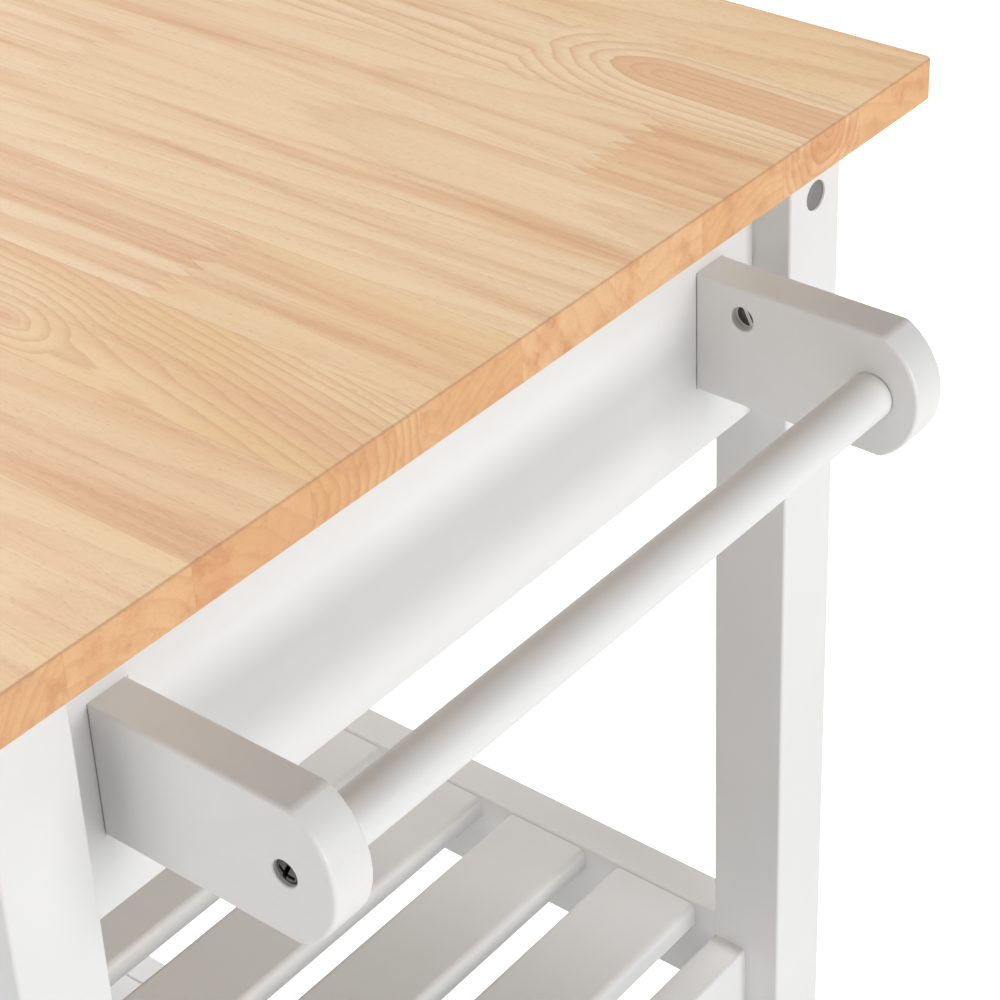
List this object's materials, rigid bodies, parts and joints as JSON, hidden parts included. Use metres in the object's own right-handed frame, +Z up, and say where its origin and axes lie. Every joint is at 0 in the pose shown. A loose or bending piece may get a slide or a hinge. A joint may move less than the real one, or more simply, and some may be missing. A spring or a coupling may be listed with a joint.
{
  "type": "kitchen island cart",
  "caption": "Rolling kitchen island with a butcher-block top on a white wooden frame, front drawers, slatted shelves and a towel bar on one end.",
  "frame": {"origin": "on the floor, under the middle of the whole object's box, towel bar included", "axes": "+X towards the end with the towel bar, -Y towards the drawers, +Z up"},
  "size_m": [1.1744, 0.508, 0.914],
  "materials": {
    "butcher_block": "oiled satin, finger-jointed staves",
    "white_paint": "satin white paint",
    "drawer_wood": "clear-coated birch",
    "zinc": "zinc plated",
    "nickel": "satin nickel",
    "caster_steel": "bright zinc plated",
    "tyre_rubber": "matt grey tread",
    "pedal_plastic": "matt moulded"
  },
  "bodies": {
    "frame": {"worktop": "butcher_block", "leg_front_left": "white_paint", "leg_front_right": "white_paint", "leg_back_left": "white_paint", "leg_back_right": "white_paint", "end_apron_left": "white_paint", "end_apron_right": "white_paint", "back_apron": "white_paint", "drawer_rail_top": "white_paint", "drawer_rail_bottom": "white_paint", "drawer_divider": "white_paint", "drawer_runner_left": "white_paint", "drawer_runner_right": "white_paint", "worktop_cleat_left": "white_paint", "worktop_cleat_right": "white_paint", "upper_shelf": "white_paint", "upper_shelf_end_rail_left": "white_paint", "upper_shelf_end_rail_right": "white_paint", "lower_shelf": "white_paint", "lower_shelf_end_rail_left": "white_paint", "lower_shelf_end_rail_right": "white_paint", "towel_bracket_front": "white_paint", "towel_bracket_back": "white_paint", "towel_bar": "white_paint", "bar_screw_front": "zinc", "bar_screw_back": "zinc", "barrel_nut_front": "zinc", "barrel_nut_back": "zinc", "bracket_bolt_front": "zinc", "bracket_bolt_back": "zinc", "leg_bolt_left": "zinc", "leg_bolt_right": "zinc", "caster_stem_front_left": "caster_steel", "caster_stem_front_right": "caster_steel", "caster_stem_back_left": "caster_steel", "caster_stem_back_right": "caster_steel"},
    "drawer_left": {"drawer_front_left": "white_paint", "drawer_left_side_left": "drawer_wood", "drawer_left_side_right": "drawer_wood", "drawer_left_back": "drawer_wood", "drawer_left_bottom": "drawer_wood", "drawer_knob_left": "nickel", "knob_screw_left": "zinc"},
    "drawer_right": {"drawer_front_right": "white_paint", "drawer_right_side_left": "drawer_wood", "drawer_right_side_right": "drawer_wood", "drawer_right_back": "drawer_wood", "drawer_right_bottom": "drawer_wood", "drawer_knob_right": "nickel", "knob_screw_right": "zinc"},
    "fork_front_left": {"caster_fork_front_left": "caster_steel"},
    "wheel_front_left": {"caster_wheel_front_left": "tyre_rubber"},
    "pedal_front_left": {"brake_pedal_front_left": "pedal_plastic"},
    "fork_front_right": {"caster_fork_front_right": "caster_steel"},
    "wheel_front_right": {"caster_wheel_front_right": "tyre_rubber"},
    "pedal_front_right": {"brake_pedal_front_right": "pedal_plastic"},
    "fork_back_left": {"caster_fork_back_left": "caster_steel"},
    "wheel_back_left": {"caster_wheel_back_left": "tyre_rubber"},
    "fork_back_right": {"caster_fork_back_right": "caster_steel"},
    "wheel_back_right": {"caster_wheel_back_right": "tyre_rubber"}
  },
  "joints": [
    {"name": "drawer_slide_left", "type": "slide", "parent": "frame", "child": "drawer_left", "axis": [0, -1, 0], "range_m": [0, 0.28]},
    {"name": "drawer_slide_right", "type": "slide", "parent": "frame", "child": "drawer_right", "axis": [0, -1, 0], "range_m": [0, 0.28]},
    {"name": "caster_swivel_front_left", "type": "hinge", "parent": "frame", "child": "fork_front_left", "pos_m": [-0.54225, -0.213, 0.055], "axis": [0, 0, 1], "continuous": true},
    {"name": "wheel_spin_front_left", "type": "hinge", "parent": "fork_front_left", "child": "wheel_front_left", "pos_m": [-0.52425, -0.213, 0.025], "axis": [0, 1, 0], "continuous": true},
    {"name": "brake_pedal_front_left", "type": "hinge", "parent": "fork_front_left", "child": "pedal_front_left", "pos_m": [-0.52425, -0.213, 0.042], "axis": [0, -1, 0], "range_deg": [0, 15]},
    {"name": "caster_swivel_front_right", "type": "hinge", "parent": "frame", "child": "fork_front_right", "pos_m": [0.48575, -0.213, 0.055], "axis": [0, 0, 1], "continuous": true},
    {"name": "wheel_spin_front_right", "type": "hinge", "parent": "fork_front_right", "child": "wheel_front_right", "pos_m": [0.50375, -0.213, 0.025], "axis": [0, 1, 0], "continuous": true},
    {"name": "brake_pedal_front_right", "type": "hinge", "parent": "fork_front_right", "child": "pedal_front_right", "pos_m": [0.50375, -0.213, 0.042], "axis": [0, -1, 0], "range_deg": [0, 15]},
    {"name": "caster_swivel_back_left", "type": "hinge", "parent": "frame", "child": "fork_back_left", "pos_m": [-0.54225, 0.213, 0.055], "axis": [0, 0, 1], "continuous": true},
    {"name": "wheel_spin_back_left", "type": "hinge", "parent": "fork_back_left", "child": "wheel_back_left", "pos_m": [-0.52425, 0.213, 0.025], "axis": [0, 1, 0], "continuous": true},
    {"name": "caster_swivel_back_right", "type": "hinge", "parent": "frame", "child": "fork_back_right", "pos_m": [0.48575, 0.213, 0.055], "axis": [0, 0, 1], "continuous": true},
    {"name": "wheel_spin_back_right", "type": "hinge", "parent": "fork_back_right", "child": "wheel_back_right", "pos_m": [0.50375, 0.213, 0.025], "axis": [0, 1, 0], "continuous": true}
  ]
}
